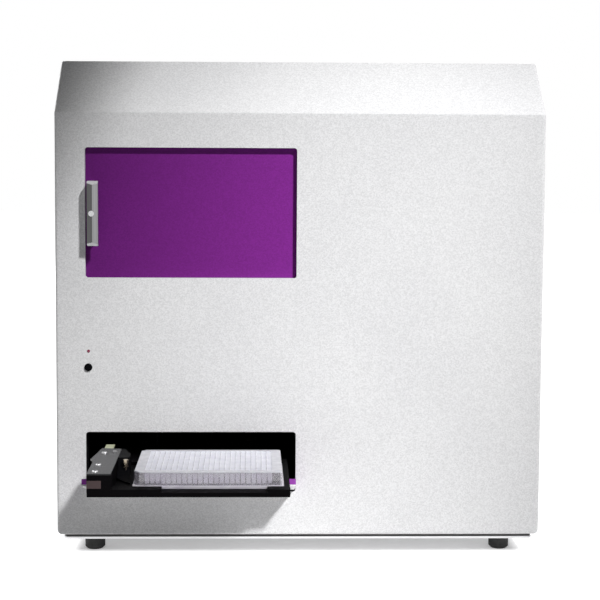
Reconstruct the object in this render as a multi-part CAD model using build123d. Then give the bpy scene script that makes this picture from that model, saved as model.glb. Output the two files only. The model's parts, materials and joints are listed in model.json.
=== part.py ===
from build123d import *
import os
from math import atan2, cos, pi, sin, tan

os.makedirs("parts", exist_ok=True)

# Frame: +X to the right seen from the front, the front faces -Y, +Z up, millimetres.
# The bench is z = 0 and the origin is below the middle of the whole instrument, with
# its plate carrier run out. Depths called "in" are measured back from the front face,
# and sizes called "inset" are measured in from the side or edge that they name.

# housing
housing_width = 450.0
housing_depth = 510.0
housing_top = 462.6
slope_drop = 49.2          # the upright front ends this far below the top
slope_run = 50.3
hood_bottom = 21.0
sheet = 2.0
bend_radius = 2.5
lower_bend = 4.5
return_flange = 12.0
carrier_reach = 131.0      # how far the carrier nose stands out when it is run out

# base and feet
foot_height = 16.5
foot_radius = 9.5
foot_inset_x = 31.6
foot_inset_y = 32.0
foot_round = 2.0
base_sheet = 2.0
base_margin = 5.5
base_setback = 3.0
seal_width = 8.0
seal_setback = 2.0

# window and its sliding door
window_inset = 27.4        # from the left side
window_width = 194.2
window_drop = 32.2         # from the end of the upright front
window_height = 119.7
window_radius = 2.5
collar_depth = 5.0
collar_wall = 1.5
door_gap = 0.5
door_thickness = 3.0
door_overlap = 7.0
door_travel = 180.0
rail_wall = 2.1
rail_clearance = 0.4
rail_overrun = 8.0

# door handle
handle_left = 3.3          # from the window's left edge
handle_width = 10.0
handle_bottom = 30.2       # from the window's lower edge
handle_height = 59.0
handle_proud = 14.0
handle_wall = 2.2
handle_screw_radius = 2.6
handle_groove = 1.2

# plate slot, its liner and the spring flap
slot_inset = 27.3          # from the left side
slot_width = 194.4
slot_bottom = 61.6
slot_height = 56.7
slot_radius = 3.0
liner_wall = 2.0
liner_flange = 6.0
liner_depth = 18.0
liner_step = 2.0           # the liner floor lies this far below the slot's lower edge
flap_gap = 1.05
flap_lower_gap = 0.9
flap_upper_gap = 0.5
flap_skin = 1.5
flap_plate_thickness = 5.0
flap_pivot_height = 4.2
flap_front_gap = 0.3
flap_open_angle = 72.0
hinge_pin_radius = 1.25
hinge_pin_length = 9.0
running_clearance = 0.05

# push-button and status lamp
button_inset = 29.8        # from the left side
button_rise = 60.3         # above the slot
button_radius = 3.4
button_proud = 1.6
button_travel = 1.5
button_clearance = 0.3
lamp_inset = 30.1          # from the left side
lamp_rise = 75.4           # above the slot
lamp_radius = 1.45
lamp_proud = 0.5
control_bevel = 0.4
control_width = 18.0
control_height = 34.0
control_depth = 14.0
board_thickness = 1.6

# plate carrier
carrier_inset = 16.7       # from the slot's left edge
carrier_width = 169.1
carrier_rise = 29.7        # above the slot's lower edge
carrier_floor = 3.7
carrier_round = 1.0
carrier_lip = 2.7
carrier_length = 111.0
lip_depth = 11.8
lip_cut_inset = 61.6       # from the carrier's left side
lip_cut_width = 88.3
frame_thickness = 5.7
frame_inset_left = 15.0
frame_inset_right = 17.1
frame_reach = 31.0         # the frame starts this far behind the carrier nose
frame_tail = 76.0          # and ends this far in from the front face
frame_cut_width = 58.0

# plate clamp on the carrier
block_width = 20.2
block_height = 16.1
block_length = 61.0
spine_width = 8.0
bracket_thickness = 1.2
bracket_step = 46.5        # it widens to the left this far behind the carrier nose
bracket_widening = 3.1
bracket_rear_inset = 2.3   # and narrows again to this inset at its rear end
bracket_tail = 35.0        # its rear end, out from the front face
clamp_screw_radius = 2.6
clamp_screw_height = 1.2
clamp_screw_rows = (6.8, 31.1, 76.1)   # behind the carrier nose
strike_width = 12.0
strike_height = 6.7
strike_depth = 1.0
strike_rise = 3.5          # above the carrier floor
clamp_screw_inset = 6.5
tab_width = 7.8
tab_inset = 3.8
tab_thickness = 1.5
tab_end = 15.0
tab_overlap = 12.0
lever_pivot_inset = 15.5   # from the carrier's left side
lever_pivot_in = -52.0
lever_hub_radius = 5.0
lever_pin_radius = 2.0
lever_height = 15.7
lever_tip = 104.1          # the lever's front end, out from the front face
lever_slant = 14.3         # its front edge runs back this far to the left
lever_crest = 72.0         # where the slope of its top ends, out from the front face
lever_rear = 38.0          # its rear end, out from the front face
lever_hollow = 0.35        # height of the slope's middle as a share of the lever's
lever_lift = 0.4
lever_relief = 0.7         # its rear corner swings clear of the bracket by this
lever_finger = 2.8         # the finger stands this far off the plate when it is let go
lever_waist = 3.6          # its right side steps away from the plate by this
lever_heel = 5.5           # and rounds off by this much more at the rear
lever_web = 4.0
lever_nose = 1.2
adjuster_out = 80.0        # the adjusting screw, out from the front face
adjuster_inset = 8.7
adjuster_flats = 2.4
adjuster_head = 6.4

# microplate, the 384-well pattern
plate_length = 127.76
plate_width = 85.48
plate_height = 14.35
plate_side_gap = 0.4
plate_front_gap = 1.0
plate_right_wall = 4.5     # the carrier wall to the right of the plate
flange_height = 2.5
flange_step = 1.6
plate_corner = 3.2
plate_notch = 6.0
plate_wall = 1.2
well_pitch = 4.5
well_columns = 24
well_rows = 16
well_size = 3.6
well_depth = 11.0
well_floor = 0.5

# transport under the carrier
bed_thickness = 6.0
bed_top = 62.0
rail_width = 12.0
rail_height = 14.0
rail_spacing = 105.0
rail_end = 286.0
carriage_width = 28.0
carriage_length = 45.0
carriage_start = 28.0
slide_clearance = 0.3
pulley_radius = 8.0
pulley_height = 8.0
pulley_teeth = 18
tooth_depth = 0.9
tooth_tip = 0.55           # share of a tooth's pitch that is full height
belt_thickness = 1.5
belt_width = 6.0
idler_in = 40.0
drive_in = 272.0
pulley_bore = 2.5
motor_size = 42.0
motor_length = 34.0
clamp_length = 14.0
clamp_start = 56.0

# measuring chamber and optics deck
wall_thickness = 6.0
chamber_margin_left = 11.3     # beyond the slot's edges
chamber_margin_right = 12.3
chamber_front = 20.0
chamber_rear = 440.0
bulkhead_in = 300.0
deck_bottom = 150.0
deck_thickness = 8.0
head_gap_front = 60.0
head_gap_rear = 102.0

# measuring head over the deck gap
head_in = 81.0
head_width = 42.0
head_depth = 46.0
head_height = 44.0
head_base_height = 6.0
head_skid = 5.0
head_rail_height = 8.0
head_rail_width = 8.0
head_rail_span = 29.0      # from the head's middle to each cross rail
barrel_radius = 16.0
barrel_length = 72.0
barrel_rise = 7.0          # the barrel's lower end at rest, below the deck's underside
screw_radius = 4.0
screw_in = 128.0
screw_height = 181.0
screw_bearing = 8.0
screw_inset = 19.0         # from the chamber's left wall
screw_overrun = 21.0       # past the chamber's right wall, into its motor
nut_half = 9.0

# module carousel behind the door
carousel_in = 142.0
carousel_radius = 95.0
carousel_rise = 2.5        # its underside above the window's lower edge
carousel_disc = 6.0
carousel_hub_radius = 14.0
carousel_post_height = 74.0
module_count = 6
module_width = 44.0
module_length = 58.0
module_height = 62.0
module_lens_radius = 11.0
module_grip_width = 20.0
module_grip_height = 12.0
module_grip_depth = 8.0
bridge_drop = 12.0         # below the carousel
bridge_thickness = 6.0
bridge_front = 106.0
bridge_rear = 188.0
bridge_leg = 34.0
carousel_motor_size = 57.0
carousel_motor_length = 40.0
shaft_radius = 4.0

# light source and detector
lamp_house_width = 70.0
lamp_house_depth = 90.0
lamp_house_height = 80.0
lamp_house_inset = 59.0    # from the chamber's left side
fin_count = 6
fin_pitch = 12.0
fin_slot = 4.0
lamp_house_in = 330.0
detector_radius = 24.0
detector_length = 130.0
detector_inset = 69.0      # from the chamber's right side
detector_neck = 14.0
detector_saddle = 12.0
detector_lift = 6.0
detector_in = 330.0

# electronics on the right
supply_width = 110.0
supply_depth = 190.0
supply_height = 55.0
supply_inset = 40.0        # from the right side
supply_rear_gap = 45.0     # ahead of the rear panel
supply_round = 2.0
main_board_width = 120.0
main_board_depth = 160.0
main_board_inset = 30.0    # from the right side
main_board_front = 45.0
board_hole_inset = 8.0
processor_size = 40.0
processor_height = 10.0
connector_count = 3
connector_width = 20.0
connector_depth = 10.0
connector_height = 9.0
connector_pitch = 34.0
standoff_height = 12.0
standoff_radius = 4.0

# rear panel
rear_recess = 3.0
fan_size = 80.0
fan_depth = 25.0
fan_bore_radius = 38.0
fan_inset = 95.0           # from the right side
fan_z = 300.0
fan_strut = 6.0
fan_back = 3.0
fan_rotor_gap = 5.0        # the spindle ends this far below the rotor's cap
fan_hub_radius = 16.0
fan_blade_count = 7
fan_tip_gap = 1.2
blade_thickness = 2.0
blade_pitch = 35.0
fan_spindle_radius = 3.0
guard_ring_count = 3
guard_wire = 2.0
guard_bar_width = 4.0
fan_bolt_pitch = 71.5
inlet_inset = 75.0         # from the left side
inlet_z = 92.0
inlet_width = 34.0
inlet_height = 62.0
inlet_flange = 5.0
inlet_flange_thickness = 2.5
inlet_depth = 30.0
socket_width = 25.0
socket_height = 17.0
socket_depth = 18.0
socket_drop = 13.0         # the socket's middle, below the inlet's middle
socket_pin_length = 11.0
socket_pin_pitch = 7.0
socket_pin_half = 2.0
rocker_width = 20.0
rocker_height = 22.0
rocker_thickness = 12.0
rocker_rise = 15.0         # the rocker's pivot, above the inlet's middle
rocker_clearance = 0.4
rocker_pivot_depth = 2.2
rocker_angle = 7.0
rocker_dish = 1.4
rocker_taper = 3.0
rocker_pin_radius = 1.2
rocker_pin_length = 1.5
data_port_inset = 145.0    # from the left side
data_port_z = 84.0
data_port_width = 31.0
data_port_height = 13.0
data_port_depth = 12.0
port_shell_top = 19.2
port_shell_foot = 17.0
port_shell_height = 7.6
port_shell_proud = 2.0
vent_count = 12
vent_width = 4.0
vent_height = 60.0
vent_pitch = 10.0
vent_z = 180.0
panel_screw_radius = 3.2
panel_screw_height = 1.8
panel_screw_inset = 10.0

# places that follow from the sizes above
front_y = (carrier_reach - housing_depth) / 2
rear_y = front_y + housing_depth
half_width = housing_width / 2
base_top = foot_height + base_sheet
front_top = housing_top - slope_drop
slope_turn = atan2(slope_run, housing_top - front_top)
nose_y = front_y - carrier_reach
window_left = window_inset - half_width
window_right = window_left + window_width
window_top = front_top - window_drop
window_bottom = window_top - window_height
slot_left = slot_inset - half_width
slot_right = slot_left + slot_width
slot_top = slot_bottom + slot_height
slot_middle_x = (slot_left + slot_right) / 2
slot_middle_z = (slot_bottom + slot_top) / 2
button_x = button_inset - half_width
button_z = slot_top + button_rise
lamp_x = lamp_inset - half_width
lamp_z = slot_top + lamp_rise
door_front = front_y + collar_depth + door_gap
door_back = door_front + door_thickness
carrier_left = slot_left + carrier_inset
carrier_right = carrier_left + carrier_width
carrier_bottom = slot_bottom + carrier_rise
lip_cut_left = carrier_left + lip_cut_inset
lip_cut_right = lip_cut_left + lip_cut_width
frame_left = carrier_left + frame_inset_left
frame_right = carrier_right - frame_inset_right
floor_z = carrier_bottom + carrier_floor
lip_z = floor_z + carrier_lip
frame_bottom = carrier_bottom - frame_thickness
bracket_z = floor_z + block_height
lever_pivot_x = carrier_left + lever_pivot_inset
plate_x = carrier_right - plate_right_wall - plate_side_gap - plate_length / 2
plate_front = nose_y + lip_depth + plate_front_gap
rail_middle_x = (frame_left + frame_right) / 2
rail_left_x = rail_middle_x - rail_spacing / 2
rail_right_x = rail_middle_x + rail_spacing / 2
pulley_x = rail_middle_x
chamber_left = slot_left - chamber_margin_left
chamber_right = slot_right + chamber_margin_right
deck_top = deck_bottom + deck_thickness
head_x = plate_x
screw_left = chamber_left + screw_inset
screw_right = chamber_right + screw_overrun
carousel_x = (window_left + window_right) / 2
carousel_bottom = window_bottom + carousel_rise
bridge_top = carousel_bottom - bridge_drop
lamp_house_x = chamber_left + lamp_house_inset
detector_x = chamber_right - detector_inset
supply_x = half_width - supply_inset - supply_width / 2
main_board_x = half_width - main_board_inset - main_board_width / 2
fan_x = half_width - fan_inset
inlet_x = inlet_inset - half_width
data_port_x = data_port_inset - half_width
pivot_y = front_y + flap_front_gap + flap_skin + flap_plate_thickness / 2
pivot_z = slot_bottom + flap_lower_gap + flap_pivot_height
flap_length = slot_height - flap_lower_gap - flap_upper_gap
panel_back = rear_y - rear_recess
panel_front = panel_back - sheet


def into(depth):
    return front_y + depth


def block(x0, x1, y0, y1, z0, z1):
    return Pos((x0 + x1) / 2, (y0 + y1) / 2, (z0 + z1) / 2) * Box(x1 - x0, y1 - y0, z1 - z0)


def upright(x, y, z0, z1, radius):
    return Pos(x, y, (z0 + z1) / 2) * Cylinder(radius, z1 - z0)


def along_y(x, z, y0, y1, radius):
    return Pos(x, (y0 + y1) / 2, z) * Rot(90, 0, 0) * Cylinder(radius, y1 - y0)


def along_x(y, z, x0, x1, radius):
    return Pos((x0 + x1) / 2, y, z) * Rot(0, 90, 0) * Cylinder(radius, x1 - x0)


def rounded_slab(x0, x1, z0, z1, y0, y1, radius):
    outline = Rot(-90, 0, 0) * RectangleRounded(x1 - x0, z1 - z0, radius)
    outline = Pos((x0 + x1) / 2, y0, (z0 + z1) / 2) * outline
    return extrude(outline, amount=y1 - y0)


# The sheet-metal hood: front, slope, top and sides bent from one sheet.

def hood_block(inset, bottom, back):
    lower_turn = inset * tan(slope_turn / 2)
    upper_turn = inset * tan((pi / 2 - slope_turn) / 2)
    outline = Polyline(
        (front_y + inset, bottom),
        (front_y + inset, front_top - lower_turn),
        (front_y + slope_run + upper_turn, housing_top - inset),
        (back, housing_top - inset),
        (back, bottom),
        close=True,
    )
    return extrude(Plane.YZ * make_face(outline), amount=half_width - inset, both=True)


def bend(solid, inset, bottom, back):
    side = half_width - inset
    low = []
    bends = []
    for edge in solid.edges():
        box = edge.bounding_box()
        at_side = abs(abs(box.min.X) - side) < 0.01 and abs(box.max.X - box.min.X) < 0.01
        at_back = box.min.Y > back - 0.01
        at_bottom = box.max.Z < bottom + 0.01
        across = box.max.X - box.min.X > side
        if at_bottom and at_side and not at_back:
            low.append(edge)
        elif (at_side or across) and not at_back and not at_bottom:
            bends.append(edge)
    solid = fillet(low, lower_bend - inset)
    picked = []
    for edge in solid.edges():
        for wanted in bends:
            if (edge.center() - wanted.center()).length < lower_bend:
                picked.append(edge)
                break
    return fillet(picked, bend_radius - inset)


def hood():
    outer = bend(hood_block(0, hood_bottom, rear_y), 0, hood_bottom, rear_y)
    back = rear_y + sheet
    floor = hood_bottom + sheet
    inner = bend(hood_block(sheet, floor, back), sheet, floor, back)
    shell = outer - inner
    open_half = half_width - return_flange
    shell -= block(-open_half, open_half, into(return_flange), back, hood_bottom - 1, floor + 1)
    flange_end = panel_front - sheet
    shell -= block(sheet - half_width, half_width - sheet, flange_end, back,
                   hood_bottom - 1, hood_bottom + lower_bend)
    collar = rounded_slab(window_left - collar_wall, window_right + collar_wall, window_bottom - collar_wall,
                          window_top + collar_wall, front_y + sheet, into(collar_depth),
                          window_radius + collar_wall)
    shell += collar
    shell -= rounded_slab(window_left, window_right, window_bottom, window_top,
                          front_y - 1, into(collar_depth) + 1, window_radius)
    shell -= rounded_slab(slot_left, slot_right, slot_bottom, slot_top,
                          front_y - 1, into(sheet) + 1, slot_radius)
    shell -= along_y(button_x, button_z, front_y - 1, into(sheet) + 1, button_radius + button_clearance)
    shell -= along_y(lamp_x, lamp_z, front_y - 1, into(sheet) + 1, lamp_radius)
    return shell


# The stainless base, the seal strip that the hood stands on, and the feet.

def base_plate():
    half = half_width - base_margin
    plate = block(-half, half, into(base_setback), rear_y - base_setback, foot_height, base_top)
    return fillet(plate.edges().filter_by(Axis.Z), lower_bend)


def base_seal():
    half = half_width - base_margin - seal_setback
    y0 = into(base_setback + seal_setback)
    y1 = panel_front - sheet
    ring = block(-half, half, y0, y1, base_top, hood_bottom)
    return ring - block(seal_width - half, half - seal_width, y0 + seal_width, y1 + 1,
                        base_top - 1, hood_bottom + 1)


def foot(side, end):
    x = side * (half_width - foot_inset_x)
    y = into(foot_inset_y) if end < 0 else rear_y - foot_inset_y
    body = upright(x, y, 0, foot_height, foot_radius)
    return chamfer(body.edges().sort_by(Axis.Z)[0], foot_round)


# The door slides to the right behind the front, in an upper and a lower rail.

def door_panel():
    return block(window_left - door_overlap, window_right + door_overlap, door_front, door_back,
                 window_bottom - door_overlap, window_top + door_overlap)


def door_rail(upper):
    y0 = into(sheet)
    y1 = door_back + rail_clearance + rail_wall
    x0 = window_left - door_overlap - rail_overrun
    x1 = window_right + door_overlap + door_travel + rail_overrun
    lip = collar_wall + rail_clearance
    seat = door_overlap + rail_clearance
    if upper:
        z0, z1, edge = window_top + lip, window_top + seat + rail_wall, window_top + seat
        groove = block(x0 - 1, x1 + 1, door_front - rail_clearance, door_back + rail_clearance, z0 - 1, edge)
    else:
        z0, z1, edge = window_bottom - seat - rail_wall, window_bottom - lip, window_bottom - seat
        groove = block(x0 - 1, x1 + 1, door_front - rail_clearance, door_back + rail_clearance, edge, z1 + 1)
    return block(x0, x1, y0, y1, z0, z1) - groove


def door_handle():
    x0 = window_left + handle_left
    x1 = x0 + handle_width
    front = front_y - handle_proud
    grip = front + handle_wall * 3
    z0 = window_bottom + handle_bottom
    z1 = z0 + handle_height
    ridge = (x0 + x1) / 2
    section = Polyline((x0, front + handle_groove), (ridge, front), (x1, front + handle_groove), (x1, grip),
                       (x0 + 2 * handle_wall, grip), (x0 + 2 * handle_wall, door_front),
                       (x0, door_front), close=True)
    bar = extrude(Pos(0, 0, z0) * make_face(section), amount=handle_height)
    slant = handle_wall * 1.5
    side = Polyline((front, z0 + slant), (front, z1 - slant), (front + slant, z1), (door_front, z1),
                    (door_front, z0), (front + slant, z0), close=True)
    bar &= extrude(Plane.YZ * make_face(side), amount=half_width, both=True)
    return bar - handle_screw()


def handle_screw():
    x = window_left + handle_left + handle_width * 0.42
    z = window_bottom + handle_bottom + handle_height / 2
    front = front_y - handle_proud
    head = along_y(x, z, front - 0.2, front + handle_wall, handle_screw_radius)
    return head + along_y(x, z, front + handle_wall, front + 3 * handle_wall, handle_screw_radius / 2)


# The black liner behind the slot, and the spring flap that the carrier pushes open.

def slot_liner():
    y0 = into(sheet)
    y1 = y0 + liner_wall
    y2 = y0 + liner_depth
    floor = slot_bottom - liner_step
    outer_floor = floor - liner_wall
    front_ring = rounded_slab(slot_left - liner_flange, slot_right + liner_flange,
                              outer_floor, slot_top + liner_flange, y0, y1, slot_radius + liner_flange)
    tunnel = block(slot_left - liner_wall, slot_right + liner_wall, y1, y2,
                   outer_floor, slot_top + liner_wall)
    rear_ring = block(chamber_left, chamber_right, y2 - liner_wall, y2, bed_top - bed_thickness, deck_bottom)
    liner = front_ring + tunnel + rear_ring
    liner -= rounded_slab(slot_left, slot_right, slot_bottom, slot_top, y0 - 1, y1 + 1, slot_radius)
    liner -= block(slot_left, slot_right, y1, y2 + 1, floor, slot_top)
    for x in (slot_left, slot_right):
        liner -= along_x(pivot_y, pivot_z, x - liner_wall - 1, x + liner_wall + 1, hinge_pin_radius)
    return liner


def flap_pin(left):
    if left:
        x0, x1 = slot_left - liner_wall, slot_left + hinge_pin_length
    else:
        x0, x1 = slot_right - hinge_pin_length, slot_right + liner_wall
    return along_x(pivot_y, pivot_z, x0, x1, hinge_pin_radius)


def opened(shape):
    return Pos(0, pivot_y, pivot_z) * Rot(flap_open_angle, 0, 0) * Pos(0, -pivot_y, -pivot_z) * shape


def flap_layer(y0, y1):
    z0 = pivot_z - flap_pivot_height
    return rounded_slab(slot_left + flap_gap, slot_right - flap_gap, z0, z0 + flap_length,
                        y0, y1, slot_radius - 1)


def flap_skin_sheet():
    y0 = into(flap_front_gap)
    return opened(flap_layer(y0, y0 + flap_skin))


def flap_plate():
    y0 = into(flap_front_gap + flap_skin)
    slab = flap_layer(y0, y0 + flap_plate_thickness)
    reach = hinge_pin_length + running_clearance
    slab -= along_x(pivot_y, pivot_z, slot_left, slot_left + reach, hinge_pin_radius + running_clearance)
    slab -= along_x(pivot_y, pivot_z, slot_right - reach, slot_right, hinge_pin_radius + running_clearance)
    return opened(slab)


# The push-button and lamp sit in one holder behind the front, with a small board.

def push_button():
    seat = into(sheet + control_depth) - button_travel - button_clearance
    button = along_y(button_x, button_z, front_y - button_proud, seat, button_radius)
    return chamfer(button.edges().sort_by(Axis.Y)[0], control_bevel)


def status_lamp():
    lens = along_y(lamp_x, lamp_z, front_y - lamp_proud, into(sheet + control_depth / 2), lamp_radius)
    return chamfer(lens.edges().sort_by(Axis.Y)[0], control_bevel)


def control_holder():
    x = (button_x + lamp_x) / 2
    z = (button_z + lamp_z) / 2
    y0 = into(sheet)
    holder = block(x - control_width / 2, x + control_width / 2, y0, y0 + control_depth,
                   z - control_height / 2, z + control_height / 2)
    holder -= along_y(button_x, button_z, y0 - 1, y0 + control_depth + 1, button_radius + button_clearance)
    return holder - along_y(lamp_x, lamp_z, y0 - 1, y0 + control_depth / 2, lamp_radius)


def control_board():
    x = (button_x + lamp_x) / 2
    z = (button_z + lamp_z) / 2
    y0 = into(sheet + control_depth)
    return block(x - control_width / 2, x + control_width / 2, y0, y0 + board_thickness,
                 z - control_height / 2, z + control_height / 2)


# The plate carrier: a shallow tray on a flat frame that rides on two carriages.

def carrier_tray():
    tail = nose_y + carrier_length
    tray = block(carrier_left, carrier_right, nose_y, tail, carrier_bottom, floor_z)
    lip = block(carrier_left + block_width, carrier_right, nose_y, nose_y + lip_depth, floor_z, lip_z)
    lip -= block(lip_cut_left, lip_cut_right, nose_y - 1, nose_y + lip_depth + 1, floor_z, lip_z + 1)
    side = block(plate_x + plate_length / 2 + plate_side_gap, carrier_right, nose_y, tail, floor_z, lip_z)
    back = block(carrier_left + block_width + spine_width, carrier_right,
                 plate_front + plate_width + plate_side_gap, tail, floor_z, lip_z)
    tray += lip + side + back
    front_edges = tray.edges().filter_by(Axis.Z).group_by(Axis.Y)[0].sort_by(Axis.X)
    return fillet([front_edges[0], front_edges[-1]], carrier_round)


def carrier_frame():
    y0 = nose_y + frame_reach
    y1 = into(frame_tail)
    plate = block(frame_left, frame_right, y0, y1, frame_bottom, carrier_bottom)
    tail = nose_y + carrier_length
    cut = block(rail_middle_x - frame_cut_width / 2, rail_middle_x + frame_cut_width / 2, tail,
                into(carriage_start), frame_bottom - 1, carrier_bottom + 1)
    return plate - cut


def clamp_block():
    front = block(carrier_left, carrier_left + block_width, nose_y, nose_y + block_length, floor_z,
                  bracket_z - bracket_thickness)
    spine = block(carrier_left, carrier_left + spine_width, nose_y + block_length, front_y - bracket_tail,
                  floor_z, bracket_z - bracket_thickness)
    body = front + spine
    z0 = floor_z + strike_rise
    body -= block(carrier_left - 1, carrier_left + strike_width, nose_y - 1, nose_y + strike_depth,
                  z0, z0 + strike_height)
    tab_front = front_y - bracket_tail - tab_overlap
    x0 = carrier_left + tab_inset
    z1 = bracket_z - bracket_thickness
    return body - block(x0, x0 + tab_width, tab_front, front_y, z1 - tab_thickness, z1 + 1)


def strike_plate():
    z0 = floor_z + strike_rise
    return block(carrier_left, carrier_left + strike_width, nose_y, nose_y + strike_depth,
                 z0, z0 + strike_height)


def sensor_tab():
    x0 = carrier_left + tab_inset
    z1 = bracket_z - bracket_thickness
    return block(x0, x0 + tab_width, front_y - bracket_tail - tab_overlap, front_y - tab_end,
                 z1 - tab_thickness, z1)


def clamp_bracket():
    x0 = carrier_left
    x1 = carrier_left + block_width
    rear = front_y - bracket_tail
    step = nose_y + bracket_step
    wide = x0 - bracket_widening
    outline = Polyline((x0, nose_y), (x1, nose_y), (x1, rear - bracket_widening),
                       (x0 + bracket_rear_inset, rear), (wide, step + 2 * bracket_widening),
                       (x0, step), close=True)
    z0 = bracket_z - bracket_thickness
    plate = extrude(Pos(0, 0, z0) * make_face(outline), amount=bracket_thickness)
    return plate - upright(lever_pivot_x, front_y + lever_pivot_in, z0 - 1, bracket_z + 1, lever_pin_radius)


def clamp_screws():
    x = carrier_left + clamp_screw_inset
    screws = []
    for row in clamp_screw_rows:
        y = nose_y + row
        head = upright(x, y, bracket_z, bracket_z + clamp_screw_height, clamp_screw_radius)
        socket_floor = bracket_z + clamp_screw_height / 2
        screws.append(head - upright(x, y, socket_floor, socket_floor + clamp_screw_height, clamp_screw_radius / 2))
    return screws[0] + screws[1] + screws[2]


# The lever swings on a pin under the bracket and presses the plate against the right wall.

def clamp_lever():
    hub_y = front_y + lever_pivot_in
    z0 = floor_z + lever_lift
    under = bracket_z - bracket_thickness - slide_clearance
    top = z0 + lever_height
    tip = front_y - lever_tip
    crest = front_y - lever_crest
    rear = front_y - lever_rear
    right = plate_x - plate_length / 2 - lever_finger
    left = carrier_left + block_width + slide_clearance
    waist = right - lever_waist
    plan = Polyline((left, tip + lever_slant), (right, tip), (waist, crest),
                    (waist, hub_y - lever_hub_radius), (waist - lever_heel / 2, hub_y),
                    (waist - lever_heel, rear - lever_heel / 2),
                    (left + lever_relief, rear), (left, hub_y), close=True)
    arm = extrude(Pos(0, 0, z0) * make_face(plan), amount=lever_height)
    nose = z0 + lever_nose
    hollow = (tip + (crest - tip) * (1 - lever_hollow), z0 + lever_height * lever_hollow)
    side = Line((tip, z0), (tip, nose)) + ThreePointArc((tip, nose), hollow, (crest, top))
    side += Polyline((crest, top), (rear + 1, top), (rear + 1, z0), (tip, z0))
    arm &= extrude(Plane.YZ * make_face(side), amount=half_width, both=True)
    hub = upright(lever_pivot_x, hub_y, z0, under, lever_hub_radius)
    hub += block(lever_pivot_x, left + 1, hub_y - lever_web, hub_y + lever_web, z0, under)
    arm = arm + hub - adjusting_screw()
    return arm - upright(lever_pivot_x, hub_y, z0 - 1, top + 1, lever_pin_radius + running_clearance)


def lever_pin():
    hub_y = front_y + lever_pivot_in
    return upright(lever_pivot_x, hub_y, floor_z, bracket_z + clamp_screw_height, lever_pin_radius)


def adjusting_screw():
    x = plate_x - plate_length / 2 - adjuster_inset
    y = front_y - adjuster_out
    shank = upright(x, y, floor_z + lever_lift + lever_web / 2, bracket_z - 1, adjuster_flats / 2)
    head = extrude(RegularPolygon(adjuster_flats, 6), amount=adjuster_head)
    return shank + Pos(x, y, bracket_z - adjuster_head) * head


# The microplate: outer wall on its foot flange, and a block of square wells hung from the top.

def microplate():
    x = plate_x
    y = plate_front + plate_width / 2
    top = floor_z + plate_height
    foot_outline = RectangleRounded(plate_length, plate_width, plate_corner)
    flange = extrude(Pos(x, y, floor_z) * foot_outline, amount=flange_height)
    upper_length = plate_length - 2 * flange_step
    upper_width = plate_width - 2 * flange_step
    outline = RectangleRounded(upper_length, upper_width, plate_corner - 1)
    notch = Rot(0, 0, 45) * Rectangle(plate_notch, plate_notch)
    for end in (-1, 1):
        outline -= Pos(-upper_length / 2, end * upper_width / 2) * notch
    upper = extrude(Pos(x, y, floor_z + flange_height) * outline, amount=plate_height - flange_height)
    body = flange + upper
    grid_length = well_columns * well_pitch
    grid_width = well_rows * well_pitch
    cavity = Rectangle(upper_length - 2 * plate_wall - plate_notch, upper_width - 2 * plate_wall)
    cavity -= Rectangle(grid_length, grid_width)
    body -= extrude(Pos(x, y, floor_z) * cavity, amount=plate_height - plate_wall)
    under = plate_height - well_depth - well_floor
    body -= extrude(Pos(x, y, floor_z) * Rectangle(grid_length, grid_width), amount=under)
    grid = GridLocations(well_pitch, well_pitch, well_columns, well_rows)
    wells = Sketch() + grid * Rectangle(well_size, well_size)
    return body - extrude(Pos(x, y, top - well_depth) * wells, amount=well_depth)


# The transport: a bed between the chamber walls, two rails, carriages and a belt drive.

def transport_bed():
    bed = block(chamber_left + wall_thickness, chamber_right - wall_thickness, into(chamber_front + wall_thickness / 2),
                into(bulkhead_in), bed_top - bed_thickness, bed_top)
    for depth in (idler_in, drive_in):
        bed -= upright(pulley_x, into(depth), bed_top - bed_thickness - 1, bed_top + 1, pulley_bore + slide_clearance)
    return bed


def transport_rail(x):
    half = rail_width / 2
    y0 = into(chamber_front + wall_thickness / 2)
    y1 = into(rail_end)
    rail = block(x - half, x + half, y0, y1, bed_top, bed_top + rail_height)
    for side in (-1, 1):
        rail -= along_y(x + side * half, bed_top + rail_height / 2, y0 - 1, y1 + 1, 2.0)
    return rail


def carriage(x):
    half = rail_width / 2 + slide_clearance
    y0 = into(carriage_start)
    y1 = y0 + carriage_length
    body = block(x - carriage_width / 2, x + carriage_width / 2, y0, y1, bed_top + 4, frame_bottom)
    return body - block(x - half, x + half, y0 - 1, y1 + 1, bed_top, bed_top + rail_height + slide_clearance)


def pulley(depth):
    y = into(depth)
    z0 = bed_top + 1
    tip = pulley_radius - slide_clearance
    root = tip - tooth_depth
    pitch = 2 * pi / pulley_teeth
    outline = []
    for index in range(pulley_teeth):
        for radius, share in ((tip, 0), (tip, tooth_tip), (root, tooth_tip + 0.1), (root, 0.9)):
            angle = (index + share) * pitch
            outline.append((pulley_x + radius * cos(angle), y + radius * sin(angle)))
    teeth = extrude(Pos(0, 0, z0) * make_face(Polyline(*outline, close=True)), amount=pulley_height)
    end = bed_thickness + 1 if depth == drive_in else bed_thickness
    return teeth + upright(pulley_x, y, bed_top - end, z0 + 0.5, pulley_bore)


def transport_belt():
    z0 = bed_top + 2
    y0 = into(idler_in)
    y1 = into(drive_in)
    outer_radius = pulley_radius + belt_thickness
    middle = (y0 + y1) / 2
    outer = Pos(pulley_x, middle, z0) * Rot(0, 0, 90) * SlotCenterToCenter(y1 - y0, 2 * outer_radius)
    inner = Pos(pulley_x, middle, z0) * Rot(0, 0, 90) * SlotCenterToCenter(y1 - y0, 2 * pulley_radius)
    return extrude(outer - inner, amount=belt_width)


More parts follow.
